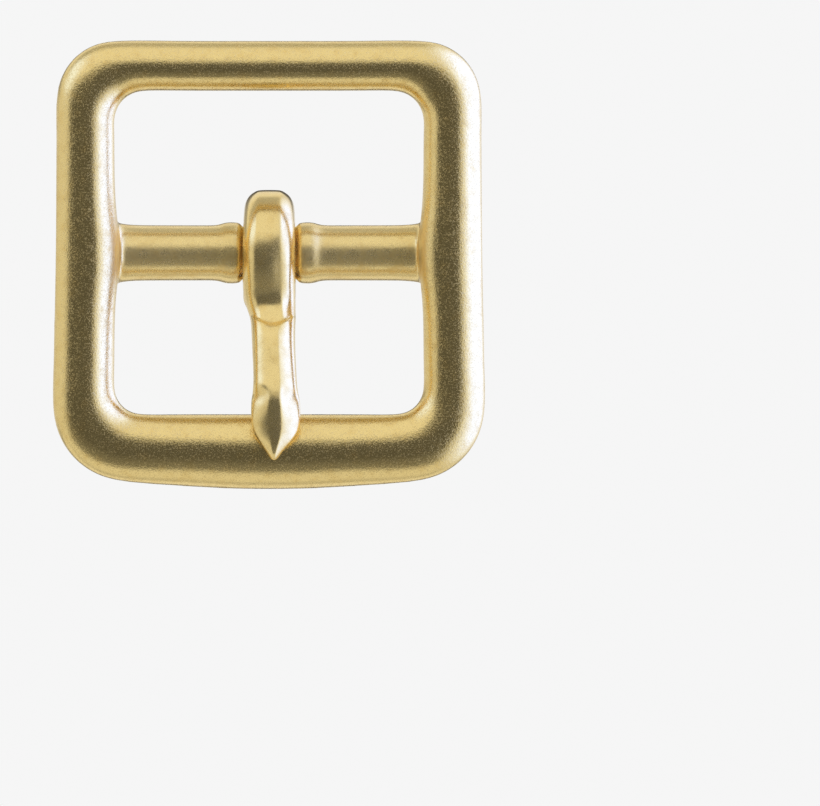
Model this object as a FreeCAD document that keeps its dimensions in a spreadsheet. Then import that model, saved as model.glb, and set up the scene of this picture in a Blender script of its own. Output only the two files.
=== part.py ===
"""Centre-bar strap buckle: a cast brass frame and a tongue that swings on its bar.

Frame of the part: +Z up (the top rail), +X to the right, the front of the buckle faces -Y.
The origin is on the axis of the bar, midway between the two side rails. Sizes are in millimetres.
"""

import FreeCAD, Part
import Sketcher
import os
import re

DRIVING_SIZES = {
    # opening that the strap passes through
    "opening_width": 19.5,
    "opening_above": 10.25,
    "opening_below": 10.2,
    "opening_corner": 1.95,
    # rails, seen from the front
    "top_rail": 3.45,
    "bottom_rail": 5.05,
    "side_rail_upper": 3.95,
    "side_rail_lower": 4.25,
    "outer_corner_upper": 3.7,
    "outer_corner_lower": 4.8,
    "bottom_bow": 0.9,
    # rails, seen from the side
    "front_reach": 4.3,
    "rail_depth": 3.4,
    "wall_draft": 10.0,
    "front_outer_round": 1.55,
    "front_inner_round": 1.45,
    "back_outer_round": 1.0,
    "back_inner_round": 0.8,
    # lugs behind the side rails, which carry the bar
    "lug_radius": 2.05,
    "lug_crown_round": 1.5,
    "lug_flank_upper": 1.6,
    "lug_flank_lower": 1.2,
    "lug_sweep_upper": 4.0,
    "lug_sweep_lower": 3.0,
    # bar, collars and neck
    "bar_radius": 1.75,
    "bar_root_depth": 1.2,
    "collar_radius": 1.92,
    "collar_length": 1.15,
    "collar_round": 0.12,
    "neck_radius": 1.6,
    # eye of the tongue
    "bore_clearance": 0.08,
    "side_clearance": 0.12,
    "eye_width": 3.3,
    "eye_radius": 4.05,
    "eye_rim_round": 0.7,
    "eye_seam": 0.15,
    "seam_offset": 1.0,
    # tongue, seen from the side
    "dip_start": 4.4,
    "dip_length": 1.4,
    "dip_depth": 0.35,
    "spade_rise": 1.6,
    "spade_lead": 0.3,
    "waist_thickness": 1.6,
    "tip_overlap": 2.9,
    "tip_thickness": 1.0,
    "seat_clearance": 0.1,
    "seat_lead": 0.35,
    "heel_step": 0.9,
    "heel_run": 0.6,
    # tongue, seen from the front
    "waist_width": 2.8,
    "spade_width": 3.2,
    "tip_width": 1.1,
    "prong_bend_round": 1.2,
}

BEYOND = 40.0  # far enough to clear the whole buckle
NEAR = 0.01  # how close a point must be to count as on a face
NAMES = re.compile(r"[a-z]+(?:_[a-z]+)+")


def make_sheet(doc):
    """Write the driving sizes into a spreadsheet, one named cell each."""
    sheet = doc.addObject("Spreadsheet::Sheet", "Sizes")
    for row, (alias, value) in enumerate(DRIVING_SIZES.items(), start=1):
        sheet.set(f"A{row}", alias)
        sheet.set(f"B{row}", str(value))
        sheet.setAlias(f"B{row}", alias)
    doc.recompute()


def sized(text):
    """An expression over cell names, with each name pointed at the spreadsheet."""
    return NAMES.sub(lambda name: f"Sizes.{name.group()}", text)


def bind(item, **expressions):
    """Bind properties of an object to expressions over the spreadsheet's cells."""
    for name, text in expressions.items():
        item.setExpression(name, sized(text))


def make_body(doc, label):
    """An empty body whose label names the piece."""
    body = doc.addObject("PartDesign::Body", label)
    body.Label = label
    body.Placement = FreeCAD.Placement()
    return body


def add_sketch(body, name, role):
    """A sketch on one of the body's own origin planes."""
    sketch = body.newObject("Sketcher::SketchObject", name)
    plane = next(f for f in body.Origin.OriginFeatures if f.Role == role)
    sketch.AttachmentSupport = (plane, [""])
    sketch.MapMode = "FlatFace"
    return sketch


def fix(sketch, edge, vertex, x, y):
    """Hold one vertex of an edge at the expressions x and y from the sketch's origin."""
    for kind, axis, text in (("DistanceX", -2, x), ("DistanceY", -1, y)):
        if text == "0":
            sketch.addConstraint(Sketcher.Constraint("PointOnObject", edge, vertex, axis))
            continue
        value = float(sketch.evalExpression(sized(text)))
        index = sketch.addConstraint(Sketcher.Constraint(kind, -1, 1, edge, vertex, value))
        sketch.setExpression(f"Constraints[{index}]", sized(text))


def add_outline(sketch, corners):
    """A closed outline through corners, each (x, y) or (x, y, radius), going anticlockwise.

    With a radius, the edge that leaves the corner is an arc that bulges outwards.
    """
    points = []
    for corner in corners:
        x, y = (float(sketch.evalExpression(sized(text))) for text in corner[:2])
        points.append(FreeCAD.Vector(x, y, 0))
    first = sketch.GeometryCount
    for here, (corner, start) in enumerate(zip(corners, points)):
        end = points[(here + 1) % len(points)]
        if len(corner) == 2:
            edge = sketch.addGeometry(Part.LineSegment(start, end), False)
        else:
            radius = float(sketch.evalExpression(sized(corner[2])))
            edge = sketch.addGeometry(bulge(start, end, radius), False)
            index = sketch.addConstraint(Sketcher.Constraint("Radius", edge, radius))
            sketch.setExpression(f"Constraints[{index}]", sized(corner[2]))
        fix(sketch, edge, 1, corner[0], corner[1])
    for here in range(len(points)):
        after = (here + 1) % len(points)
        sketch.addConstraint(Sketcher.Constraint("Coincident", first + here, 2, first + after, 1))


def bulge(start, end, radius):
    """The short arc from start to end that bulges to the right of that direction."""
    chord = end - start
    rise = (radius**2 - (chord.Length / 2) ** 2) ** 0.5
    centre = (start + end) / 2 + FreeCAD.Vector(-chord.y, chord.x, 0).normalize() * rise
    circle = Part.Circle(centre, FreeCAD.Vector(0, 0, 1), radius)
    return Part.ArcOfCircle(circle, circle.parameter(start), circle.parameter(end))


def add_circle(sketch, radius_text):
    """A circle about the sketch's origin."""
    radius = float(sketch.evalExpression(sized(radius_text)))
    edge = sketch.addGeometry(Part.Circle(FreeCAD.Vector(), FreeCAD.Vector(0, 0, 1), radius), False)
    sketch.addConstraint(Sketcher.Constraint("Coincident", edge, 3, -1, 1))
    index = sketch.addConstraint(Sketcher.Constraint("Radius", edge, radius))
    sketch.setExpression(f"Constraints[{index}]", sized(radius_text))


def add_feature(body, kind, name, sketch, **settings):
    """A pad, pocket or revolution of a sketch."""
    feature = body.newObject(f"PartDesign::{kind}", name)
    feature.Profile = sketch
    for key, value in settings.items():
        setattr(feature, key, value)
    return feature


def add_fillet(doc, body, name, radius_text, wanted):
    """Round those edges of the body's tip that wanted(edge) picks."""
    doc.recompute()
    base = body.Tip
    picked = [f"Edge{i}" for i, edge in enumerate(base.Shape.Edges, start=1) if wanted(edge)]
    if not picked:
        raise RuntimeError(f"{name} found no edges")
    fillet = body.newObject("PartDesign::Fillet", name)
    fillet.Base = (base, picked)
    bind(fillet, Radius=radius_text)
    doc.recompute()
    return fillet


def along(edge, axis, slack=0.02):
    """True if the edge runs straight along this axis."""
    if len(edge.Vertexes) != 2:
        return False
    run = edge.Vertexes[1].Point - edge.Vertexes[0].Point
    return run.Length > slack and abs(run.normalize().dot(axis)) > 1 - slack


def mid(edge):
    """The middle of an edge."""
    return edge.valueAt((edge.FirstParameter + edge.LastParameter) / 2)


X_AXIS = FreeCAD.Vector(1, 0, 0)
Y_AXIS = FreeCAD.Vector(0, 1, 0)


def build_frame(doc, size):
    """The casting: four rails, two lugs, and the bar with its collars and neck."""
    body = make_body(doc, "frame")

    # outer block, which narrows towards the back so that it leaves its mould
    outline = add_sketch(body, "frame_outline", "XZ_Plane")
    bind(outline, **{"AttachmentOffset.Base.z": "front_reach"})
    low = "-(opening_below + bottom_rail - bottom_bow)"
    high = "opening_above + top_rail"
    half_low = "opening_width / 2 + side_rail_lower"
    half_high = "opening_width / 2 + side_rail_upper"
    bow_radius = f"(({half_low}) ^ 2 + bottom_bow ^ 2) / (2 * bottom_bow)"
    add_outline(
        outline,
        [
            (f"-({half_low})", low, bow_radius),
            (half_low, low),
            (half_high, high),
            (f"-({half_high})", high),
        ],
    )
    block = add_feature(body, "Pad", "frame_block", outline, Reversed=True)
    bind(block, Length="front_reach + lug_radius", TaperAngle="-wall_draft")
    doc.recompute()
    add_fillet(
        doc,
        body,
        "upper_corners",
        "outer_corner_upper",
        lambda e: along(e, Y_AXIS, 0.1) and mid(e).z > 0 and abs(mid(e).x) > size.opening_width / 2,
    )
    add_fillet(
        doc,
        body,
        "lower_corners",
        "outer_corner_lower",
        lambda e: along(e, Y_AXIS, 0.1) and mid(e).z < -size.opening_below,
    )

    # the rails are shallow, and a hill is left behind them on each side for the bar
    relief = add_sketch(body, "lug_hill", "YZ_Plane")
    back = "rail_depth - front_reach"
    add_outline(
        relief,
        [
            (back, f"-{BEYOND}"),
            (f"{BEYOND}", f"-{BEYOND}"),
            (f"{BEYOND}", f"{BEYOND}"),
            (back, f"{BEYOND}"),
            (back, "lug_radius + lug_flank_upper"),
            ("lug_radius", "lug_radius"),
            ("lug_radius", "-lug_radius"),
            (back, "-(lug_radius + lug_flank_lower)"),
        ],
    )
    add_feature(body, "Pocket", "behind_the_rails", relief, Type="ThroughAll", SideType="Symmetric")
    rail_back = size.rail_depth - size.front_reach

    def at_foot(edge, foot):
        """True if the edge is where a lug's flank meets the back of the rails."""
        return abs(mid(edge).y - rail_back) < NEAR and abs(mid(edge).z - foot) < NEAR

    add_fillet(
        doc,
        body,
        "lug_crowns",
        "lug_crown_round",
        lambda e: along(e, X_AXIS) and mid(e).y > size.lug_radius - NEAR,
    )
    for sweep, foot in (
        ("lug_sweep_upper", size.lug_radius + size.lug_flank_upper),
        ("lug_sweep_lower", -size.lug_radius - size.lug_flank_lower),
    ):
        add_fillet(doc, body, f"{sweep}_fillet", sweep, lambda e: along(e, X_AXIS) and at_foot(e, foot))

    # opening for the strap
    window = add_sketch(body, "opening", "XZ_Plane")
    add_outline(
        window,
        [
            ("-opening_width / 2", "-opening_below"),
            ("opening_width / 2", "-opening_below"),
            ("opening_width / 2", "opening_above"),
            ("-opening_width / 2", "opening_above"),
        ],
    )
    add_feature(body, "Pocket", "strap_opening", window, Type="ThroughAll", SideType="Symmetric")
    half_open = size.opening_width / 2
    add_fillet(
        doc,
        body,
        "opening_corners",
        "opening_corner",
        lambda e: along(e, Y_AXIS) and abs(abs(mid(e).x) - half_open) < NEAR,
    )

    # rounded rims
    front = -size.front_reach
    add_fillet(
        doc,
        body,
        "front_outer_rim",
        "front_outer_round",
        lambda e: abs(mid(e).y - front) < NEAR and outside_opening(mid(e), size),
    )
    add_fillet(
        doc,
        body,
        "front_inner_rim",
        "front_inner_round",
        lambda e: abs(mid(e).y - front) < NEAR and inside_opening(mid(e), size),
    )
    add_fillet(
        doc,
        body,
        "back_outer_rim",
        "back_outer_round",
        lambda e: mid(e).y > rail_back - NEAR and outside_opening(mid(e), size),
    )
    add_fillet(
        doc,
        body,
        "back_inner_rim",
        "back_inner_round",
        lambda e: mid(e).y > rail_back - NEAR and inside_opening(mid(e), size) and not along(e, Y_AXIS),
    )
    add_bar(doc, body, size)
    return body


def add_bar(doc, body, size):
    """The bar between the lugs, turned about the X axis with its collars and neck."""
    profile = add_sketch(body, "bar_profile", "XY_Plane")
    root = "opening_width / 2 + bar_root_depth"
    neck = "eye_width / 2 + side_clearance"
    shoulder = f"{neck} + collar_length"
    add_outline(
        profile,
        [
            (f"-({root})", "0"),
            (root, "0"),
            (root, "bar_radius"),
            (shoulder, "bar_radius"),
            (shoulder, "collar_radius"),
            (neck, "collar_radius"),
            (neck, "neck_radius"),
            (f"-({neck})", "neck_radius"),
            (f"-({neck})", "collar_radius"),
            (f"-({shoulder})", "collar_radius"),
            (f"-({shoulder})", "bar_radius"),
            (f"-({root})", "bar_radius"),
        ],
    )
    add_feature(body, "Revolution", "bar", profile, ReferenceAxis=(profile, ["H_Axis"]), Angle=360)
    inner_rim = size.eye_width / 2 + size.side_clearance
    outer_rim = inner_rim + size.collar_length
    add_fillet(
        doc,
        body,
        "collar_rims",
        "collar_round",
        lambda e: e.Curve.TypeId == "Part::GeomCircle"
        and abs(e.Curve.Radius - size.collar_radius) < NEAR
        and min(abs(abs(mid(e).x) - inner_rim), abs(abs(mid(e).x) - outer_rim)) < NEAR,
    )


def build_tongue(doc, size):
    """The tongue: an eye closed round the neck of the bar, and a prong down to the bottom rail."""
    body = make_body(doc, "tongue")

    # eye
    ring = add_sketch(body, "eye_ring", "YZ_Plane")
    add_circle(ring, "eye_radius")
    eye = add_feature(body, "Pad", "eye", ring, SideType="Symmetric")
    bind(eye, Length="eye_width")
    add_fillet(doc, body, "eye_rims", "eye_rim_round", lambda e: e.Curve.TypeId == "Part::GeomCircle")

    # prong, seen from the side, resting in front of the bottom rail
    side = add_sketch(body, "prong_side", "YZ_Plane")
    seat = "-(front_reach + seat_clearance)"
    dip_end = "dip_start + dip_length"
    face = "-eye_radius"
    tip = "-(opening_below + tip_overlap)"
    seat_top = "-(opening_below - seat_lead)"
    spade = "-(opening_below - spade_lead)"
    tip_face = f"{seat} - tip_thickness"
    add_outline(
        side,
        [
            (face, "0"),
            (face, "-dip_start"),
            (f"{face} + dip_depth", f"-({dip_end})"),
            (f"{face} - spade_rise", spade),
            (tip_face, tip),
            (seat, tip),
            (seat, seat_top),
            (f"{seat} + heel_step", f"{seat_top} + heel_run"),
            (f"{face} + dip_depth + waist_thickness", f"-({dip_end})"),
            ("-seam_offset", "-(eye_radius - eye_seam)"),
            ("-seam_offset", "0"),
        ],
    )
    prong = add_feature(body, "Pad", "prong", side, SideType="Symmetric")
    bind(prong, Length="eye_width")
    add_fillet(
        doc,
        body,
        "prong_bends",
        "prong_bend_round",
        lambda e: along(e, X_AXIS)
        and mid(e).y < -size.eye_radius + size.dip_depth + NEAR
        and -size.opening_below < mid(e).z < -size.dip_start + NEAR,
    )

    # prong, seen from the front: a waist, a spade and a narrow tip
    front = add_sketch(body, "prong_front", "XZ_Plane")
    add_outline(
        front,
        [
            (f"-{BEYOND}", f"-{BEYOND}"),
            (f"{BEYOND}", f"-{BEYOND}"),
            (f"{BEYOND}", f"{BEYOND}"),
            (f"-{BEYOND}", f"{BEYOND}"),
        ],
    )
    add_outline(
        front,
        [
            ("-tip_width / 2", tip),
            ("tip_width / 2", tip),
            ("spade_width / 2", spade),
            ("waist_width / 2", f"-({dip_end})"),
            ("eye_width / 2", "-bar_radius"),
            ("eye_width / 2", f"{BEYOND - 1}"),
            ("-eye_width / 2", f"{BEYOND - 1}"),
            ("-eye_width / 2", "-bar_radius"),
            ("-waist_width / 2", f"-({dip_end})"),
            ("-spade_width / 2", spade),
        ],
    )
    add_feature(body, "Pocket", "prong_sides", front, Type="ThroughAll", SideType="Symmetric")

    # bore for the neck of the bar, and the seam where the eye was closed
    bore = add_sketch(body, "bore_circle", "YZ_Plane")
    add_circle(bore, "neck_radius + bore_clearance")
    add_feature(body, "Pocket", "bore", bore, Type="ThroughAll", SideType="Symmetric")
    seam = add_sketch(body, "seam_slot", "YZ_Plane")
    add_outline(
        seam,
        [
            ("-seam_offset", "-(eye_radius + 1)"),
            ("-seam_offset + eye_seam", "-(eye_radius + 1)"),
            ("-seam_offset + eye_seam", "-neck_radius / 2"),
            ("-seam_offset", "-neck_radius / 2"),
        ],
    )
    add_feature(body, "Pocket", "seam", seam, Type="ThroughAll", SideType="Symmetric")
    return body


def outside_opening(point, size):
    """True if a point lies past the middle of the rail it is on, seen from the front."""
    return (
        abs(point.x) > size.opening_width / 2 + size.side_rail_upper / 2
        or point.z > size.opening_above + size.top_rail / 2
        or point.z < -size.opening_below - size.bottom_rail / 2
    )


def inside_opening(point, size):
    """True if a point lies on the wall of the opening."""
    return (
        abs(point.x) < size.opening_width / 2 + NEAR
        and -size.opening_below - NEAR < point.z < size.opening_above + NEAR
    )


class Sizes:
    """The driving sizes as attributes, for picking edges."""

    def __init__(self, values):
        self.__dict__.update(values)


def main():
    """Build the document, test it and write each piece."""
    doc = FreeCAD.newDocument("strap_buckle")
    make_sheet(doc)
    size = Sizes(DRIVING_SIZES)
    pieces = [build_frame(doc, size), build_tongue(doc, size)]
    doc.recompute()
    for item in doc.Objects:
        if {"Invalid", "Error"} & set(item.State):
            raise RuntimeError(f"{item.Name} failed: {item.State}")
    for piece in pieces:
        if piece.Shape.isNull() or not piece.Shape.isValid():
            raise RuntimeError(f"{piece.Label} has no valid shape")
    os.makedirs("parts", exist_ok=True)
    for piece in pieces:
        print(f"{piece.Label}: {piece.Shape.Volume:.1f} mm3, {piece.Shape.BoundBox}")
        piece.Shape.exportStep(f"parts/{piece.Label}.step")


main()
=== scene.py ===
"""Looks of a small cast brass strap buckle: a rounded square frame, its bar, and a swinging tongue.

The pieces are modelled in millimetres around the axis of the bar and then brought to metres.
The front of the buckle faces -Y, +Z is up and the bar lies along X.
"""

from __future__ import annotations

import logging
import math
from dataclasses import dataclass
from enum import Enum

import bmesh
import bpy
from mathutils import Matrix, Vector

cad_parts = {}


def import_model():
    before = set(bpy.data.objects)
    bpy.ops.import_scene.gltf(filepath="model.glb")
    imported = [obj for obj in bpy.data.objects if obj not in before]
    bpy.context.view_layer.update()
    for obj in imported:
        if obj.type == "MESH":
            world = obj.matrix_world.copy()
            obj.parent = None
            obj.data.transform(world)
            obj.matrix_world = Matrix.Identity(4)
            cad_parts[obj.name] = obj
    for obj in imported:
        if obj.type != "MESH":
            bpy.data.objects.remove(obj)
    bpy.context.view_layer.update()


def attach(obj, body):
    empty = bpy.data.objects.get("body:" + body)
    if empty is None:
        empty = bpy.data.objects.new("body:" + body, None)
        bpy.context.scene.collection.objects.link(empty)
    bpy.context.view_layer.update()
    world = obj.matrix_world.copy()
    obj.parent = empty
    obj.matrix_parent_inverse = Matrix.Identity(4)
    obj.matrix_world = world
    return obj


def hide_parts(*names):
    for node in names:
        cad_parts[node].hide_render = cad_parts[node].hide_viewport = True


LOG = logging.getLogger("buckle")
METRES_PER_MM = 0.001
SPOKES = 16  # points round every cross-section
SWELL = 1.026  # a smoothed ring of 16 points lies this much inside its points
ARC_SWELL = 1.02  # and so does a smoothed arc of cross-sections
ROUND = 2.0  # the fullness of an elliptical quarter of a cross-section
NOUGHT = 1e-6  # a sine smaller than this is nought
STRIP_ROWS = (1, 2)  # rows of the flat strip beside the middle of the tongue's outer face
MIX_COLOURS = (6, 7)  # the colour inputs of a Mix node
MIX_RESULT = 2  # and its colour output
CORNER_TURNS = (0.0, 22.5, 45.0, 67.5, 90.0)  # degrees from an end rail round to a side rail
Loop = list[Vector]
Colour = tuple[float, float, float, float]


def deselect() -> None:
    """Leave edit mode with nothing selected."""
    if bpy.context.object and bpy.context.object.mode != "OBJECT":
        bpy.ops.object.mode_set(mode="OBJECT")
    bpy.ops.object.select_all(action="DESELECT")


def pick(*pieces: bpy.types.Object) -> None:
    """Select only these pieces and make the first one active.

    Args:
        pieces: the objects to work on.
    """
    deselect()
    for piece in pieces:
        piece.select_set(True)
    bpy.context.view_layer.objects.active = pieces[0]


def finish_with(piece: bpy.types.Object, kind: str, **settings: object) -> None:
    """Add one modifier to a piece and apply it.

    Args:
        piece: the object that gets it.
        kind: the modifier's type.
        settings: the modifier's properties.
    """
    pick(piece)
    modifier = piece.modifiers.new(kind.lower(), kind)
    for name, value in settings.items():
        setattr(modifier, name, value)
    bpy.ops.object.modifier_apply(modifier=modifier.name)


def to_metres(piece: bpy.types.Object) -> None:
    """Bring a piece modelled in millimetres to metres, with its place in its mesh.

    Args:
        piece: the object to scale.
    """
    pick(piece)
    bpy.ops.object.mode_set(mode="EDIT")
    bpy.ops.mesh.select_all(action="SELECT")
    bpy.ops.mesh.normals_make_consistent(inside=False)
    bpy.ops.transform.resize(value=(METRES_PER_MM,) * 3, center_override=(0.0, 0.0, 0.0))
    bpy.ops.object.mode_set(mode="OBJECT")
    bpy.ops.object.shade_smooth()


def give_finish(piece: bpy.types.Object, finish: bpy.types.Material) -> None:
    """Make this the only material of a piece.

    Args:
        piece: the object that gets it.
        finish: the material.
    """
    piece.data.materials.clear()
    piece.data.materials.append(finish)


def grey(level: float) -> Colour:
    """A neutral colour."""
    return (level, level, level, 1.0)


@dataclass
class Loft:
    """A smooth tube drawn through cross-sections, each a loop of SPOKES points in millimetres."""

    name: str
    loops: list[Loop]
    closed: bool
    levels: int = 3

    def build(self) -> bpy.types.Object:
        """Extrude a circle from section to section and smooth the cage.

        Returns:
            The finished tube.
        """
        deselect()
        bpy.ops.mesh.primitive_circle_add(vertices=SPOKES, radius=1.0)
        tube = bpy.context.object
        tube.name = self.name
        bpy.ops.object.mode_set(mode="EDIT")
        bpy.ops.mesh.select_mode(type="EDGE")
        bpy.ops.mesh.select_all(action="SELECT")
        self._label(tube)
        self._place(tube, self.loops[0])
        for loop in self.loops[1:]:
            bpy.ops.mesh.extrude_edges_move()
            self._place(tube, loop)
        bpy.ops.mesh.select_all(action="DESELECT")
        bpy.ops.mesh.select_non_manifold(extend=False, use_wire=False, use_multi_face=False)
        if self.closed:
            bpy.ops.mesh.bridge_edge_loops()
        else:
            bpy.ops.mesh.edge_face_add()
        bpy.ops.mesh.select_all(action="SELECT")
        bpy.ops.mesh.normals_make_consistent(inside=False)
        bpy.ops.object.mode_set(mode="OBJECT")
        finish_with(tube, "SUBSURF", levels=self.levels, render_levels=self.levels)
        return tube

    def _label(self, tube: bpy.types.Object) -> None:
        """Number the circle's points, so that each extruded copy knows its spoke.

        Args:
            tube: the circle, in edit mode.
        """
        grid = bmesh.from_edit_mesh(tube.data)
        layer = grid.verts.layers.int.new("spoke")
        for vertex in grid.verts:
            turn = math.atan2(vertex.co.y, vertex.co.x) / math.tau % 1.0
            vertex[layer] = round(turn * SPOKES) % SPOKES
        bmesh.update_edit_mesh(tube.data)

    def _place(self, tube: bpy.types.Object, loop: Loop) -> None:
        """Put the selected ring of points on a section.

        Args:
            tube: the tube, in edit mode.
            loop: the section's points, by spoke.
        """
        grid = bmesh.from_edit_mesh(tube.data)
        layer = grid.verts.layers.int["spoke"]
        for vertex in grid.verts:
            if vertex.select:
                vertex.co = loop[vertex[layer]]
        bmesh.update_edit_mesh(tube.data)


@dataclass(frozen=True)
class Rail:
    """One cross-section of the frame, from its inner wall to its outer wall, in millimetres.

    The inner and outer points are (X, Z); back, front and waist are Y. A crown is where the
    section is thickest, as a share of its width, and left_shift is how much nearer to the
    opening the front crown lies on the left of the buckle.
    """

    inner: tuple[float, float]
    outer: tuple[float, float]
    back: float = -0.9
    back_crown: float = 0.5
    lean: float = 0.5
    back_inner_fullness: float = ROUND
    back_outer_fullness: float = ROUND
    front: float = -4.3
    waist: float = -2.7
    front_crown: float = 0.5
    left_shift: float = 0.0

    def mirrored(self) -> "Rail":
        """Make the same section on the left of the buckle.

        Returns:
            The mirrored section.
        """
        values = dict(self.__dict__)
        values["front_crown"] = self.front_crown - self.left_shift
        values["inner"] = (-self.inner[0], self.inner[1])
        values["outer"] = (-self.outer[0], self.outer[1])
        return Rail(**values)

    def loop(self) -> Loop:
        """Work out the section's points.

        Returns:
            The points by spoke, from the outer wall round by the back.
        """
        start = Vector((self.inner[0], 0.0, self.inner[1]))
        across = Vector((self.outer[0], 0.0, self.outer[1])) - start
        width = across.length
        across.normalize()
        middle = Vector((width / 2.0, (self.front + self.back) / 2.0))
        points = []
        for spoke in range(SPOKES):
            turn = math.tau * spoke / SPOKES
            out, up = math.cos(turn), math.sin(turn)
            is_back = up > NOUGHT
            crown = (self.back_crown if is_back else self.front_crown) * width
            wall = width if out >= 0.0 else 0.0
            fullness = ROUND
            if is_back:
                fullness = self.back_outer_fullness if out >= 0.0 else self.back_inner_fullness
            reach = abs(out) ** (ROUND / fullness)
            rise = abs(up) ** (ROUND / fullness)
            top = self.back if is_back else self.front
            if is_back and out >= 0.0:
                wall -= self.lean * rise
            place = Vector((crown + (wall - crown) * reach, self.waist + (top - self.waist) * rise))
            place = middle + (place - middle) * SWELL
            points.append(start + across * place.x + Vector((0.0, place.y, 0.0)))
        return points


@dataclass
class BuckleFrame:
    """The cast frame: four rails in a closed ring, with a bar through its middle, in millimetres."""

    name: str = "brass_frame"
    opening_half_width: float = 9.75
    opening_top: float = 10.19
    opening_bottom: float = -10.2
    opening_corner: float = 1.9
    opening_low_corner: float = 1.72
    top_edge: float = 13.36
    top_corner: float = 3.7
    bottom_corner: float = 4.7
    bottom_corner_centre: tuple[float, float] = (8.93, -9.75)
    # the frame widens a little from this height at the top down to the centre of the low corner
    half_width_top: float = 13.4
    half_width_top_height: float = 9.7
    half_width_bottom: float = 13.65
    # the inner wall of a side rail swells towards the bar
    wall_swell: float = 0.3
    wall_swell_reach: float = 2.6
    top_stops: tuple[float, ...] = (0.0, 3.0, 5.8)
    # X and Z of the bottom rail's outer edge
    bottom_outline: tuple[tuple[float, float], ...] = ((5.8, -14.74), (3.0, -14.92), (0.0, -14.98))
    bottom_waist: float = -2.3
    top_crown: float = 0.455
    side_crown: float = 0.505
    bottom_crown: float = 0.485
    left_shift: float = 0.055
    end_back_crown: float = 0.5
    side_back_crown: float = 0.55
    top_lean: float = 0.35
    bottom_lean: float = 0.4
    side_lean: float = 0.5
    voxel: float = 0.134
    smoothing_factor: float = 0.5
    smoothing_passes: int = 12
    # height on the side rail, its back, the back's crown, the outer wall's lean, the fullness of
    # the back's inner and outer half: a plain rail at each end, and the lug that holds the bar
    side_profile: tuple[tuple[float, ...], ...] = (
        (7.6, -0.90, 0.55, 0.55, 2.4, 2.1),
        (6.4, -0.72, 0.55, 0.7, 2.6, 2.2),
        (5.4, -0.42, 0.55, 0.9, 2.8, 2.4),
        (4.5, -0.02, 0.54, 1.1, 3.0, 2.6),
        (3.7, 0.42, 0.53, 1.25, 3.2, 2.9),
        (3.0, 0.98, 0.50, 1.45, 3.4, 3.2),
        (2.4, 1.62, 0.44, 1.65, 3.4, 3.5),
        (1.8, 1.98, 0.36, 1.8, 3.2, 3.8),
        (0.9, 2.0, 0.30, 1.8, 3.0, 4.0),
        (0.0, 2.0, 0.30, 1.8, 3.0, 4.0),
        (-0.9, 2.0, 0.30, 1.8, 3.0, 4.0),
        (-1.6, 1.85, 0.36, 1.75, 3.2, 3.6),
        (-2.1, 1.15, 0.44, 1.6, 3.4, 3.2),
        (-2.6, 0.38, 0.50, 1.5, 3.4, 3.0),
        (-3.1, -0.10, 0.53, 1.35, 3.3, 2.8),
        (-3.8, -0.46, 0.54, 1.15, 3.2, 2.6),
        (-4.6, -0.72, 0.55, 0.95, 3.0, 2.4),
        (-5.7, -0.88, 0.55, 0.75, 2.8, 2.2),
        (-7.2, -0.92, 0.55, 0.6, 2.5, 2.1),
    )
    # X and radius of the bar's rings: the neck, a collar, the plain bar and its root in the lug
    bar_profile: tuple[tuple[float, float], ...] = (
        (0.0, 1.6), (1.2, 1.6), (1.7, 1.6), (1.78, 1.62), (1.80, 1.86), (1.95, 1.93),
        (2.35, 1.95), (2.7, 1.95), (2.95, 1.88), (3.2, 1.77), (3.7, 1.74), (5.0, 1.75),
        (7.0, 1.75), (8.4, 1.76), (9.2, 1.82), (9.8, 1.95), (10.6, 2.0), (11.4, 1.9),
    )

    def top_rail(self, x: float) -> Rail:
        """The top rail's section at one X."""
        return Rail((x, self.opening_top), (x, self.top_edge), lean=self.top_lean, front_crown=self.top_crown)

    def bottom_rail(self, x: float, edge: float) -> Rail:
        """The bottom rail's section at one X.

        Args:
            x: where the section is.
            edge: Z of its outer edge.

        Returns:
            The section.
        """
        return Rail(
            (x, self.opening_bottom),
            (x, edge),
            lean=self.bottom_lean,
            waist=self.bottom_waist,
            front_crown=self.bottom_crown,
        )

    def corner(self, upper: bool) -> list[Rail]:
        """Lay out the sections round one of the right corners.

        Args:
            upper: whether it is the corner at the top.

        Returns:
            The sections from the end rail to the side rail.
        """
        upwards = 1.0 if upper else -1.0
        inside = self.opening_corner if upper else self.opening_low_corner
        outside = self.top_corner if upper else self.bottom_corner
        opening_end = self.opening_top if upper else self.opening_bottom
        inner_centre = (self.opening_half_width - inside, opening_end - upwards * inside)
        outer_centre = self.bottom_corner_centre
        if upper:
            outer_centre = (self.half_width_top - outside, self.top_edge - outside)
        end_lean = self.top_lean if upper else self.bottom_lean
        end_crown = self.top_crown if upper else self.bottom_crown
        rails = []
        for degrees in CORNER_TURNS:
            turn = math.radians(degrees)
            share = degrees / CORNER_TURNS[-1]
            across = ARC_SWELL * math.sin(turn)
            along = ARC_SWELL * math.cos(turn) * upwards
            rails.append(
                Rail(
                    (inner_centre[0] + inside * across, inner_centre[1] + inside * along),
                    (outer_centre[0] + outside * across, outer_centre[1] + outside * along),
                    lean=end_lean + (self.side_lean - end_lean) * share,
                    back_crown=self.end_back_crown + (self.side_back_crown - self.end_back_crown) * share,
                    front_crown=end_crown + (self.side_crown - end_crown) * share,
                    left_shift=self.left_shift * share,
                )
            )
        return rails

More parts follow.
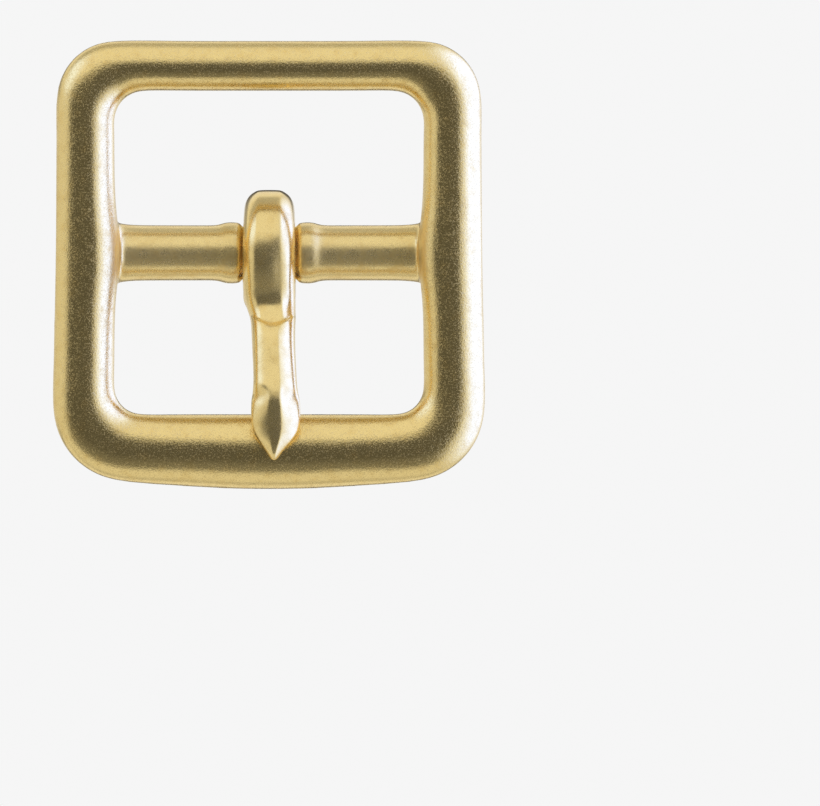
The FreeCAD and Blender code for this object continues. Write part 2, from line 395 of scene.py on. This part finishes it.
    def side_rail(self) -> list[Rail]:
        """Lay out the sections of the right side rail and its lug.

        Returns:
            The sections from the top down.
        """
        rails = []
        low = self.bottom_corner_centre[1]
        for height, back, crown, lean, inner_fullness, outer_fullness in self.side_profile:
            share = (height - low) / (self.half_width_top_height - low)
            reach = self.half_width_bottom + (self.half_width_top - self.half_width_bottom) * share
            swell = self.wall_swell * math.exp(-((height / self.wall_swell_reach) ** 2))
            rails.append(
                Rail(
                    (self.opening_half_width - swell, height),
                    (reach, height),
                    back,
                    crown,
                    lean,
                    inner_fullness,
                    outer_fullness,
                    front_crown=self.side_crown,
                    left_shift=self.left_shift,
                )
            )
        return rails

    def stations(self) -> list[Rail]:
        """Lay out all the sections.

        Returns:
            The sections, once round the ring from the middle of the top rail by the right.
        """
        top_middle, *top = [self.top_rail(x) for x in self.top_stops]
        *bottom, bottom_middle = [self.bottom_rail(x, edge) for x, edge in self.bottom_outline]
        right = [*top, *self.corner(True), *self.side_rail(), *reversed(self.corner(False)), *bottom]
        left = [rail.mirrored() for rail in reversed(right)]
        return [top_middle, *right, bottom_middle, *left]

    def bar_loops(self) -> list[Loop]:
        """Lay out the bar's rings, with a collar each side of the neck that the tongue swings on.

        Returns:
            The rings from left to right.
        """
        rings = [(-x, radius) for x, radius in reversed(self.bar_profile)] + list(self.bar_profile[1:])
        loops = []
        for x, radius in rings:
            loop = []
            for spoke in range(SPOKES):
                turn = math.tau * spoke / SPOKES
                swollen = radius * SWELL
                loop.append(Vector((x, swollen * math.cos(turn), swollen * math.sin(turn))))
            loops.append(loop)
        return loops

    def build(self) -> bpy.types.Object:
        """Model the rails and the bar and melt them into one casting.

        Returns:
            The frame.
        """
        ring = Loft(self.name, [rail.loop() for rail in self.stations()], closed=True).build()
        bar = Loft("bar", self.bar_loops(), closed=False).build()
        pick(ring, bar)
        bpy.ops.object.join()
        finish_with(ring, "REMESH", mode="VOXEL", voxel_size=self.voxel)
        finish_with(ring, "SMOOTH", factor=self.smoothing_factor, iterations=self.smoothing_passes)
        to_metres(ring)
        return ring

    def dress(self, frame_piece: bpy.types.Object, finish: bpy.types.Material) -> None:
        """Give the frame its metal and its place in the model.

        Args:
            frame_piece: the frame.
            finish: its metal.
        """
        give_finish(frame_piece, finish)
        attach(frame_piece, "frame")
        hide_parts("frame")


class Cut(Enum):
    """Half cross-sections of the tongue: share of the half width, share of the thickness."""

    EYE = (
        (0.0, 1.0), (0.38, 0.995), (0.52, 0.975), (0.84, 0.83), (1.0, 0.56),
        (1.0, 0.28), (0.94, 0.03), (0.60, 0.0), (0.0, 0.0),
    )
    CURL_END = (
        (0.0, 0.90), (0.40, 0.90), (0.54, 0.885), (0.80, 0.78), (0.92, 0.60),
        (0.92, 0.30), (0.85, 0.12), (0.55, 0.08), (0.0, 0.08),
    )
    SADDLE = (
        (0.0, 1.0), (0.40, 1.0), (0.52, 0.98), (0.82, 0.84), (1.0, 0.58),
        (1.0, 0.28), (0.92, 0.04), (0.60, 0.0), (0.0, 0.0),
    )
    RIDGE = (
        (0.0, 1.0), (0.19, 1.0), (0.29, 0.985), (0.72, 0.875), (0.96, 0.66),
        (1.0, 0.34), (0.90, 0.03), (0.55, 0.0), (0.0, 0.0),
    )
    SPADE = (
        (0.0, 1.0), (0.17, 0.992), (0.30, 0.96), (0.76, 0.68), (0.97, 0.46),
        (1.0, 0.30), (0.90, 0.04), (0.50, 0.0), (0.0, 0.0),
    )


@dataclass(frozen=True)
class Slice:
    """One cross-section of the tongue in the plane across its length, in millimetres.

    The outer and inner points are (Y, Z). The hollow in the inner face and the droop of the outer
    face's right edge are shares of the thickness. The bow lifts the outer face's edges.
    """

    outer: tuple[float, float]
    inner: tuple[float, float]
    half_width: float
    cut: Cut
    shift: float = 0.0
    hollow: float = 0.0
    hollow_width: float = 0.55
    bow: float = 0.0
    droop: float = 0.0

    def loop(self) -> Loop:
        """Work out the section's points.

        Returns:
            The points by spoke, from the middle of the outer face round by +X.
        """
        low = Vector((0.0, *self.inner))
        rise = Vector((0.0, *self.outer)) - low
        last_row = SPOKES // 2
        points = []
        for spoke in range(SPOKES):
            row = spoke if spoke <= last_row else SPOKES - spoke
            side = 1.0 if spoke <= last_row else -1.0
            across, up = self.cut.value[row]
            if self.hollow > 0.0 and row == last_row:
                up = self.hollow
            if self.hollow > 0.0 and row == last_row - 1:
                across = self.hollow_width
            if side > 0.0 and row in STRIP_ROWS:
                up -= self.droop
            up = 0.5 + (up - 0.5) * SWELL
            x = side * across * self.half_width * SWELL + self.shift
            points.append(low + rise * up + Vector((x, 0.0, self.bow * across * across * up)))
        return points


@dataclass
class Tongue:
    """The tongue: a thick band wrapped round the neck of the bar that runs out into a spade point."""

    name: str = "brass_tongue"
    eye_inner: float = 1.72
    eye_outer: float = 3.96
    eye_half_width: float = 1.63
    crest_narrowing: float = 0.07
    # degrees round the eye, from the end of the curl below the neck, by the back, to the front
    curl_turns: tuple[float, ...] = (
        -11.0, -7.0, 8.0, 28.0, 50.0, 70.0, 90.0, 110.0, 130.0, 150.0, 170.0, 190.0,
        210.0, 230.0, 250.0,
    )
    # from the front of the eye down to the point
    prong: tuple[Slice, ...] = (
        Slice((-4.04, 0.0), (-1.72, 0.0), 1.63, Cut.EYE, droop=0.05),
        Slice((-3.95, -0.95), (-1.36, -1.05), 1.63, Cut.EYE, droop=0.06),
        Slice((-3.68, -1.8), (-1.0, -2.0), 1.63, Cut.EYE, droop=0.06),
        Slice((-3.38, -2.5), (-1.0, -2.7), 1.61, Cut.EYE, 0.02, droop=0.05),
        Slice((-3.25, -3.05), (-1.0, -3.2), 1.56, Cut.SADDLE, 0.08),
        Slice((-3.34, -3.5), (-1.0, -3.6), 1.50, Cut.SADDLE, 0.14),
        Slice((-3.54, -3.95), (-1.05, -3.95), 1.45, Cut.SADDLE, 0.20, bow=0.2),
        Slice((-3.68, -4.32), (-1.15, -4.2), 1.42, Cut.SADDLE, 0.24, 0.16, 0.74, 0.45),
        Slice((-3.98, -4.60), (-1.35, -4.45), 1.41, Cut.SADDLE, 0.26, 0.28, 0.74, 0.75),
        Slice((-4.24, -4.82), (-1.60, -4.75), 1.39, Cut.RIDGE, 0.27, 0.36, 0.72, 0.70),
        Slice((-4.48, -5.20), (-1.95, -5.2), 1.37, Cut.RIDGE, 0.28, 0.40, 0.66, 0.45),
        Slice((-4.68, -5.80), (-2.35, -5.8), 1.355, Cut.RIDGE, 0.30, 0.40, 0.57, 0.20),
        Slice((-4.88, -6.50), (-2.75, -6.5), 1.345, Cut.RIDGE, 0.33, 0.35, 0.46),
        Slice((-5.08, -7.20), (-3.08, -7.2), 1.345, Cut.RIDGE, 0.37, 0.26, 0.34),
        Slice((-5.30, -7.90), (-3.36, -7.9), 1.35, Cut.RIDGE, 0.40, 0.12, 0.24),
        Slice((-5.48, -8.45), (-3.52, -8.5), 1.38, Cut.RIDGE, 0.41),
        Slice((-5.61, -8.90), (-3.62, -8.9), 1.42, Cut.SPADE, 0.425),
        Slice((-5.68, -9.30), (-3.66, -9.05), 1.47, Cut.SPADE, 0.43),
        Slice((-5.70, -9.70), (-3.98, -9.2), 1.51, Cut.SPADE, 0.435),
        Slice((-5.70, -10.2), (-4.20, -9.8), 1.54, Cut.SPADE, 0.445),
        Slice((-5.69, -10.7), (-4.42, -10.5), 1.545, Cut.SPADE, 0.455),
        Slice((-5.67, -11.15), (-4.42, -11.1), 1.47, Cut.SPADE, 0.46),
        Slice((-5.63, -11.55), (-4.42, -11.55), 1.27, Cut.SPADE, 0.455),
        Slice((-5.58, -11.95), (-4.42, -11.95), 1.00, Cut.SPADE, 0.43),
        Slice((-5.50, -12.35), (-4.44, -12.35), 0.69, Cut.SPADE, 0.38),
        Slice((-5.36, -12.72), (-4.46, -12.72), 0.42, Cut.SPADE, 0.35),
        Slice((-5.16, -12.98), (-4.52, -12.98), 0.24, Cut.SPADE, 0.35),
        Slice((-4.96, -13.10), (-4.62, -13.10), 0.12, Cut.SPADE, 0.35),
    )

    def slices(self) -> list[Slice]:
        """Lay out the cross-sections.

        Returns:
            The sections from the end of the curl to the point.
        """
        wrapped = []
        for index, degrees in enumerate(self.curl_turns):
            turn = math.radians(degrees)
            direction = (math.sin(turn), -math.cos(turn))
            outer = tuple(self.eye_outer * ARC_SWELL * part for part in direction)
            inner = tuple(self.eye_inner * ARC_SWELL * part for part in direction)
            cut = Cut.CURL_END if index == 0 else Cut.EYE
            half_width = self.eye_half_width - self.crest_narrowing * max(0.0, direction[1])
            wrapped.append(Slice(outer, inner, half_width, cut))
        return [*wrapped, *self.prong]

    def build(self) -> bpy.types.Object:
        """Model the band and the prong.

        Returns:
            The tongue.
        """
        tongue = Loft(self.name, [cut.loop() for cut in self.slices()], closed=False).build()
        to_metres(tongue)
        return tongue

    def dress(self, tongue_piece: bpy.types.Object, finish: bpy.types.Material) -> None:
        """Give the tongue its metal and its place in the model.

        Args:
            tongue_piece: the tongue.
            finish: its metal.
        """
        give_finish(tongue_piece, finish)
        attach(tongue_piece, "tongue")
        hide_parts("tongue")


@dataclass
class NodeSheet:
    """A short way to lay out a node tree."""

    tree: bpy.types.NodeTree

    def add(self, kind: str, **settings: object) -> bpy.types.Node:
        """Add one node.

        Args:
            kind: the node's type.
            settings: its properties.

        Returns:
            The node.
        """
        node = self.tree.nodes.new(kind)
        for name, value in settings.items():
            setattr(node, name, value)
        return node

    def join(self, source: bpy.types.NodeSocket, target: bpy.types.NodeSocket) -> None:
        """Link two sockets."""
        self.tree.links.new(source, target)

    def feed(self, value: object, socket: bpy.types.NodeSocket) -> None:
        """Set a socket to a number or link it to another socket.

        Args:
            value: a number, a colour or a socket.
            socket: the input that gets it.
        """
        if isinstance(value, bpy.types.NodeSocket):
            self.join(value, socket)
        else:
            socket.default_value = value

    def maths(self, operation: str, *values: object) -> bpy.types.NodeSocket:
        """Add a maths node.

        Args:
            operation: what it works out.
            values: numbers or sockets for its inputs.

        Returns:
            Its result.
        """
        node = self.add("ShaderNodeMath", operation=operation)
        for index, value in enumerate(values):
            self.feed(value, node.inputs[index])
        return node.outputs[0]

    def window(self, value: object, start: float, end: float) -> bpy.types.NodeSocket:
        """A soft step from 0 to 1.

        Args:
            value: the number that is tested.
            start: where the step starts.
            end: where it ends; below the start for a step that is 1 under both.

        Returns:
            The step.
        """
        node = self.add("ShaderNodeMapRange", interpolation_type="SMOOTHSTEP")
        self.feed(value, node.inputs["Value"])
        node.inputs["From Min"].default_value = start
        node.inputs["From Max"].default_value = end
        return node.outputs["Result"]

    def ramp(
        self, value: object, source: tuple[float, float], target: tuple[float, float]
    ) -> bpy.types.NodeSocket:
        """Map one range of numbers straight onto another.

        Args:
            value: the number that is mapped.
            source: the ends of its range.
            target: the ends of the result's range.

        Returns:
            The mapped number.
        """
        node = self.add("ShaderNodeMapRange")
        self.feed(value, node.inputs["Value"])
        node.inputs["From Min"].default_value, node.inputs["From Max"].default_value = source
        node.inputs["To Min"].default_value, node.inputs["To Max"].default_value = target
        return node.outputs["Result"]

    def blend(self, share: object, first: object, second: object) -> bpy.types.NodeSocket:
        """Mix two colours.

        Args:
            share: 0 gives the first, 1 the second.
            first: a colour or a socket.
            second: a colour or a socket.

        Returns:
            The mixed colour.
        """
        node = self.add("ShaderNodeMix", data_type="RGBA")
        self.feed(share, node.inputs["Factor"])
        for colour, index in zip((first, second), MIX_COLOURS):
            self.feed(colour, node.inputs[index])
        return node.outputs[MIX_RESULT]

    def noise(self, coordinates: bpy.types.NodeSocket, scale: float, detail: float) -> bpy.types.NodeSocket:
        """Add a noise pattern.

        Args:
            coordinates: where the pattern is looked up.
            scale: how many of its features go into one unit of them.
            detail: how many finer layers it has.

        Returns:
            The pattern, from 0 to 1.
        """
        node = self.add("ShaderNodeTexNoise")
        node.inputs["Scale"].default_value = scale
        node.inputs["Detail"].default_value = detail
        self.join(coordinates, node.inputs["Vector"])
        return node.outputs["Fac"]

    def bump(self, height: bpy.types.NodeSocket, millimetres: float) -> bpy.types.Node:
        """Add a bump node.

        Args:
            height: the pattern that is raised.
            millimetres: how high it stands.

        Returns:
            The node.
        """
        node = self.add("ShaderNodeBump")
        node.inputs["Strength"].default_value = 1.0
        node.inputs["Distance"].default_value = millimetres * METRES_PER_MM
        self.join(height, node.inputs["Height"])
        return node


@dataclass(frozen=True)
class CastBrass:
    """Tumbled cast brass: a fine grain, dull specks and soft waves, smoother where it is hidden.

    The tumbling doesn't reach the hollow round the bar, which keeps a thin dull film. Sizes are in
    millimetres, and each pair is the start and end of a soft edge or a range.
    """

    name: str
    colour: Colour = (0.86, 0.66, 0.27, 1.0)
    deep_colour: Colour = (0.78, 0.54, 0.17, 1.0)
    stain: Colour = (0.34, 0.25, 0.11, 1.0)
    stain_share: float = 0.26
    roughness: float = 0.19
    roughness_spread: tuple[float, float] = (-0.03, 0.06)
    hollow_roughness: float = 0.15
    speckle_roughness: float = 0.24
    back_gloss: float = 0.10
    back_speckle_loss: float = 0.65
    back_grain_loss: float = 0.6
    grain_per_mm: float = 9.0
    grain_depth: float = 0.011
    speckle_per_mm: float = 10.5
    stain_per_speckle: float = 1.4
    wave_per_mm: float = 0.55
    wave_depth: float = 0.012
    patch_per_mm: float = 1.6
    film: float = 0.0
    hollow_film: float = 0.15
    hollow_height: tuple[float, float] = (3.0, 2.0)
    hollow_reach: tuple[float, float] = (10.6, 9.4)
    hidden_depth: tuple[float, float] = (-2.6, -1.4)
    patch_range: tuple[float, float] = (0.3, 0.7)
    deep_range: tuple[float, float] = (0.42, 1.0)
    speckle_range: tuple[float, float] = (0.46, 0.66)
    stain_range: tuple[float, float] = (0.54, 0.70)

    def make(self) -> bpy.types.Material:
        """Lay out the metal.

        Returns:
            The material.
        """
        material = bpy.data.materials.new(self.name)
        material.use_nodes = True
        sheet = NodeSheet(material.node_tree)
        shader = material.node_tree.nodes["Principled BSDF"]
        mapping = sheet.add("ShaderNodeMapping")
        mapping.inputs["Scale"].default_value = (1.0 / METRES_PER_MM,) * 3
        sheet.join(sheet.add("ShaderNodeTexCoord").outputs["Object"], mapping.inputs["Vector"])
        place = mapping.outputs["Vector"]
        split = sheet.add("ShaderNodeSeparateXYZ")
        sheet.join(place, split.inputs[0])
        across, depth, height = split.outputs
        beside_bar = sheet.window(sheet.maths("ABSOLUTE", height), *self.hollow_height)
        between_lugs = sheet.window(sheet.maths("ABSOLUTE", across), *self.hollow_reach)
        hollow = sheet.maths("MULTIPLY", beside_bar, between_lugs)
        hidden = sheet.window(depth, *self.hidden_depth)
        patches = sheet.noise(place, self.patch_per_mm, detail=4.0)
        bare = 1.0 - self.film
        if self.hollow_film > 0.0:
            bare = sheet.maths("MULTIPLY_ADD", hollow, -self.hollow_film, bare)
        sheet.feed(bare, shader.inputs["Metallic"])
        sheet.join(self._roughness(sheet, place, patches, hollow, hidden), shader.inputs["Roughness"])
        sheet.join(self._colour(sheet, place, patches), shader.inputs["Base Color"])
        sheet.join(self._relief(sheet, place, hidden), shader.inputs["Normal"])
        return material

    def _roughness(
        self,
        sheet: NodeSheet,
        place: bpy.types.NodeSocket,
        patches: bpy.types.NodeSocket,
        hollow: bpy.types.NodeSocket,
        hidden: bpy.types.NodeSocket,
    ) -> bpy.types.NodeSocket:
        """Lay out the metal's roughness.

        Args:
            sheet: the material's nodes.
            place: the point in millimetres.
            patches: the broad pattern.
            hollow: 1 in the hollow round the bar.
            hidden: 1 on the back.

        Returns:
            The roughness.
        """
        drop, rise = self.roughness_spread
        spread = (self.roughness + drop, self.roughness + rise)
        plain = sheet.ramp(patches, self.patch_range, spread)
        gloss = sheet.maths("MULTIPLY", hidden, -self.back_gloss)
        specks = sheet.window(sheet.noise(place, self.speckle_per_mm, detail=4.0), *self.speckle_range)
        kept = sheet.maths("MULTIPLY_ADD", hidden, -self.back_speckle_loss, 1.0)
        specks = sheet.maths("MULTIPLY", specks, kept)
        dull = sheet.maths("MULTIPLY", hollow, self.hollow_roughness)
        dull = sheet.maths("ADD", dull, sheet.maths("MULTIPLY", specks, self.speckle_roughness))
        return sheet.maths("ADD", sheet.maths("ADD", plain, gloss), dull)

    def _colour(
        self, sheet: NodeSheet, place: bpy.types.NodeSocket, patches: bpy.types.NodeSocket
    ) -> bpy.types.NodeSocket:
        """Lay out the metal's colour.

        Args:
            sheet: the material's nodes.
            place: the point in millimetres.
            patches: the broad pattern.

        Returns:
            The colour.
        """
        colour = sheet.blend(sheet.window(patches, *self.deep_range), self.colour, self.deep_colour)
        stains = sheet.noise(place, self.speckle_per_mm * self.stain_per_speckle, detail=3.0)
        share = sheet.maths("MULTIPLY", sheet.window(stains, *self.stain_range), self.stain_share)
        return sheet.blend(share, colour, self.stain)

    def _relief(
        self, sheet: NodeSheet, place: bpy.types.NodeSocket, hidden: bpy.types.NodeSocket
    ) -> bpy.types.NodeSocket:
        """Lay out the metal's waves and grain.

        Args:
            sheet: the material's nodes.
            place: the point in millimetres.
            hidden: 1 on the back.

        Returns:
            The bumped normal.
        """
        broad = sheet.bump(sheet.noise(place, self.wave_per_mm, detail=1.0), self.wave_depth)
        grain = sheet.noise(place, self.grain_per_mm, detail=3.0)
        kept = sheet.maths("MULTIPLY_ADD", hidden, -self.back_grain_loss, 1.0)
        fine = sheet.bump(sheet.maths("MULTIPLY", grain, kept), self.grain_depth)
        sheet.join(broad.outputs["Normal"], fine.inputs["Normal"])
        return fine.outputs["Normal"]


@dataclass(frozen=True)
class Band:
    """A step in the brightness of the surroundings.

    It runs over an angle in degrees, which is 0 straight out of the buckle's front and 90 straight
    up. A step for the middle only is weaker to the sides.
    """

    start: float
    end: float
    level: float
    middle_only: bool = False


@dataclass(frozen=True)
class Glow:
    """A part of a light: where its soft edge starts and ends, and its colour."""

    start: float
    end: float
    colour: Colour


@dataclass
class Studio:
    """Soft light all round the buckle, a pale floor below it, and the camera, in metres."""

    paper: float = 0.92
    diffuse_light: float = 1.0
    behind: float = 0.78
    bands: tuple[Band, ...] = (
        Band(-164.0, -159.0, 0.12, middle_only=True),
        Band(-148.0, -140.0, 0.95),
        Band(-116.0, -110.0, 0.45),
        Band(-106.0, -98.0, 0.84),
        Band(-64.0, -53.0, 0.20),
        Band(-38.0, -22.0, 0.105),
        Band(17.0, 31.0, 0.95),
        Band(84.0, 100.0, 0.50),
        Band(120.0, 130.0, 0.95),
        Band(150.0, 156.0, 0.07, middle_only=True),
        Band(171.0, 177.0, 0.78),
    )
    middle_reach: tuple[float, float] = (0.55, 0.12)
    middle_least: float = 0.60
    # the large light on the right, from its rim to its core
    right_light: tuple[Glow, ...] = (
        Glow(0.37, 0.54, (0.80, 0.80, 0.80, 1.0)),
        Glow(0.47, 0.74, (1.10, 1.28, 2.05, 1.0)),
        Glow(0.68, 0.90, (1.24, 1.64, 4.1, 1.0)),
    )
    right_light_rise: float = 0.35
    right_light_rear: tuple[float, float] = (-0.96, -0.85)
    # metal mirrored in metal sees the large light no brighter than this, and plain white
    second_bounce: tuple[float, float] = (1.8, 1.2)
    plain_light: float = 1.2
    left_light: Glow = Glow(0.79, 0.90, (0.80, 0.80, 0.80, 1.0))
    small_light: Glow = Glow(0.90, 0.985, (1.12, 1.35, 2.2, 1.0))
    small_light_aim: tuple[float, float, float] = (-0.82, -0.17, 0.55)
    floor_height: float = -0.045
    floor_radius: float = 0.15
    floor_sides: int = 96
    floor_level: float = 0.86
    floor_roughness: float = 0.9
    sensor_width: float = 36.0
    camera_distance: float = 0.80
    view_centre: tuple[float, float] = (0.0089, -0.0095)
    view_width: float = 0.0519
    clip_range: tuple[float, float] = (0.01, 5.0)

    def light(self) -> None:
        """Make the surroundings that the brass mirrors; straight looks at them see plain paper."""
        world = bpy.data.worlds.new("studio")
        bpy.context.scene.world = world
        world.use_nodes = True
        world.node_tree.nodes.clear()
        sheet = NodeSheet(world.node_tree)
        direction = sheet.add("ShaderNodeTexCoord").outputs["Generated"]
        paths = sheet.add("ShaderNodeLightPath")
        shade = self._banded(sheet, direction)
        shade = self._lit(sheet, direction, paths.outputs["Glossy Depth"], shade)
        shade = sheet.blend(paths.outputs["Is Diffuse Ray"], shade, grey(self.diffuse_light))
        seen = sheet.blend(paths.outputs["Is Camera Ray"], shade, grey(self.paper))
        background = sheet.add("ShaderNodeBackground")
        sheet.join(seen, background.inputs["Color"])
        output = sheet.add("ShaderNodeOutputWorld")
        sheet.join(background.outputs[0], output.inputs["Surface"])

    def _split(self, sheet: NodeSheet, direction: bpy.types.NodeSocket) -> tuple[bpy.types.NodeSocket, ...]:
        """Take a direction apart.

        Args:
            sheet: the world's nodes.
            direction: the direction that is looked in.

        Returns:
            Its parts to the right, out of the buckle's front and up.
        """
        split = sheet.add("ShaderNodeSeparateXYZ")
        sheet.join(direction, split.inputs[0])
        across, depth, height = split.outputs
        return across, sheet.maths("MULTIPLY", depth, -1.0), height

    def _banded(self, sheet: NodeSheet, direction: bpy.types.NodeSocket) -> bpy.types.NodeSocket:
        """Lay out the level bands of light and dark.

        Args:
            sheet: the world's nodes.
            direction: the direction that is looked in.

        Returns:
            The brightness there.
        """
        across, forward, height = self._split(sheet, direction)
        degrees = sheet.maths("DEGREES", sheet.maths("ARCTAN2", height, forward))
        middle = sheet.window(sheet.maths("ABSOLUTE", across), *self.middle_reach)
        middle = sheet.maths("MULTIPLY_ADD", middle, 1.0 - self.middle_least, self.middle_least)
        shade = grey(self.behind)
        for band in self.bands:
            share = sheet.window(degrees, band.start, band.end)
            if band.middle_only:
                share = sheet.maths("MULTIPLY", share, middle)
            shade = sheet.blend(share, shade, grey(band.level))
        return shade

    def _lit(
        self,
        sheet: NodeSheet,
        direction: bpy.types.NodeSocket,
        bounces: bpy.types.NodeSocket,
        shade: bpy.types.NodeSocket,
    ) -> bpy.types.NodeSocket:
        """Add the lights on the right, on the left and the small one high on the left.

        Args:
            sheet: the world's nodes.
            direction: the direction that is looked in.
            bounces: how many times the look was mirrored.
            shade: the brightness without the lights.

        Returns:
            The brightness with them.
        """
        across, forward, height = self._split(sheet, direction)
        rear = sheet.window(forward, *self.right_light_rear)
        raised = sheet.maths("MULTIPLY", sheet.maths("MAXIMUM", height, 0.0), self.right_light_rise)
        reach = sheet.maths("ADD", across, raised)
        first = sheet.window(bounces, *self.second_bounce)
        for glow in self.right_light:
            lit = sheet.maths("MULTIPLY", sheet.window(reach, glow.start, glow.end), rear)
            plain = grey(min(glow.colour[0], self.plain_light))
            shade = sheet.blend(lit, shade, sheet.blend(first, plain, glow.colour))
        glow = self.left_light
        left = sheet.window(sheet.maths("MULTIPLY", across, -1.0), glow.start, glow.end)
        shade = sheet.blend(left, shade, glow.colour)
        glow = self.small_light
        aim = sheet.add("ShaderNodeVectorMath", operation="DOT_PRODUCT")
        sheet.join(direction, aim.inputs[0])
        aim.inputs[1].default_value = self.small_light_aim
        return sheet.blend(sheet.window(aim.outputs["Value"], glow.start, glow.end), shade, glow.colour)

    def lay_floor(self) -> bpy.types.Object:
        """Make the floor, a pale disc well below the buckle that its brass doesn't mirror.

        Returns:
            The floor.
        """
        deselect()
        bpy.ops.mesh.primitive_circle_add(
            vertices=self.floor_sides,
            radius=self.floor_radius,
            fill_type="NGON",
            location=(0.0, 0.0, self.floor_height),
        )
        floor = bpy.context.object
        floor.name = "floor"
        material = bpy.data.materials.new("pale_floor")
        material.use_nodes = True
        shader = material.node_tree.nodes["Principled BSDF"]
        shader.inputs["Base Color"].default_value = grey(self.floor_level)
        shader.inputs["Roughness"].default_value = self.floor_roughness
        shader.inputs["Specular IOR Level"].default_value = 0.0
        give_finish(floor, material)
        floor.visible_glossy = False
        return floor

    def set_camera(self) -> None:
        """Stand the camera square to the front of the buckle."""
        deselect()
        x, z = self.view_centre
        place = (x, -self.camera_distance, z)
        bpy.ops.object.camera_add(location=place, rotation=(math.pi / 2.0, 0.0, 0.0))
        camera = bpy.context.object
        camera.data.sensor_width = self.sensor_width
        camera.data.lens = self.sensor_width * self.camera_distance / self.view_width
        camera.data.clip_start, camera.data.clip_end = self.clip_range
        bpy.context.scene.camera = camera
        bpy.context.scene.view_settings.view_transform = "Standard"


def main() -> None:
    """Build the buckle, light it and log how many faces each piece has."""
    logging.basicConfig(level=logging.INFO, format="%(name)s: %(message)s")
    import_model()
    frame_maker = BuckleFrame()
    frame_piece = frame_maker.build()
    frame_maker.dress(frame_piece, CastBrass("tumbled_frame_brass").make())
    LOG.info("%s has %d faces", frame_piece.name, len(frame_piece.data.polygons))
    tongue_maker = Tongue()
    tongue_piece = tongue_maker.build()
    tongue_finish = CastBrass(
        "tumbled_tongue_brass",
        hollow_roughness=0.0,
        speckle_roughness=0.10,
        back_gloss=0.08,
        grain_depth=0.003,
        film=0.06,
        hollow_film=0.0,
    )
    tongue_maker.dress(tongue_piece, tongue_finish.make())
    LOG.info("%s has %d faces", tongue_piece.name, len(tongue_piece.data.polygons))
    studio = Studio()
    studio.light()
    studio.lay_floor()
    studio.set_camera()


if __name__ == "__main__":
    main()
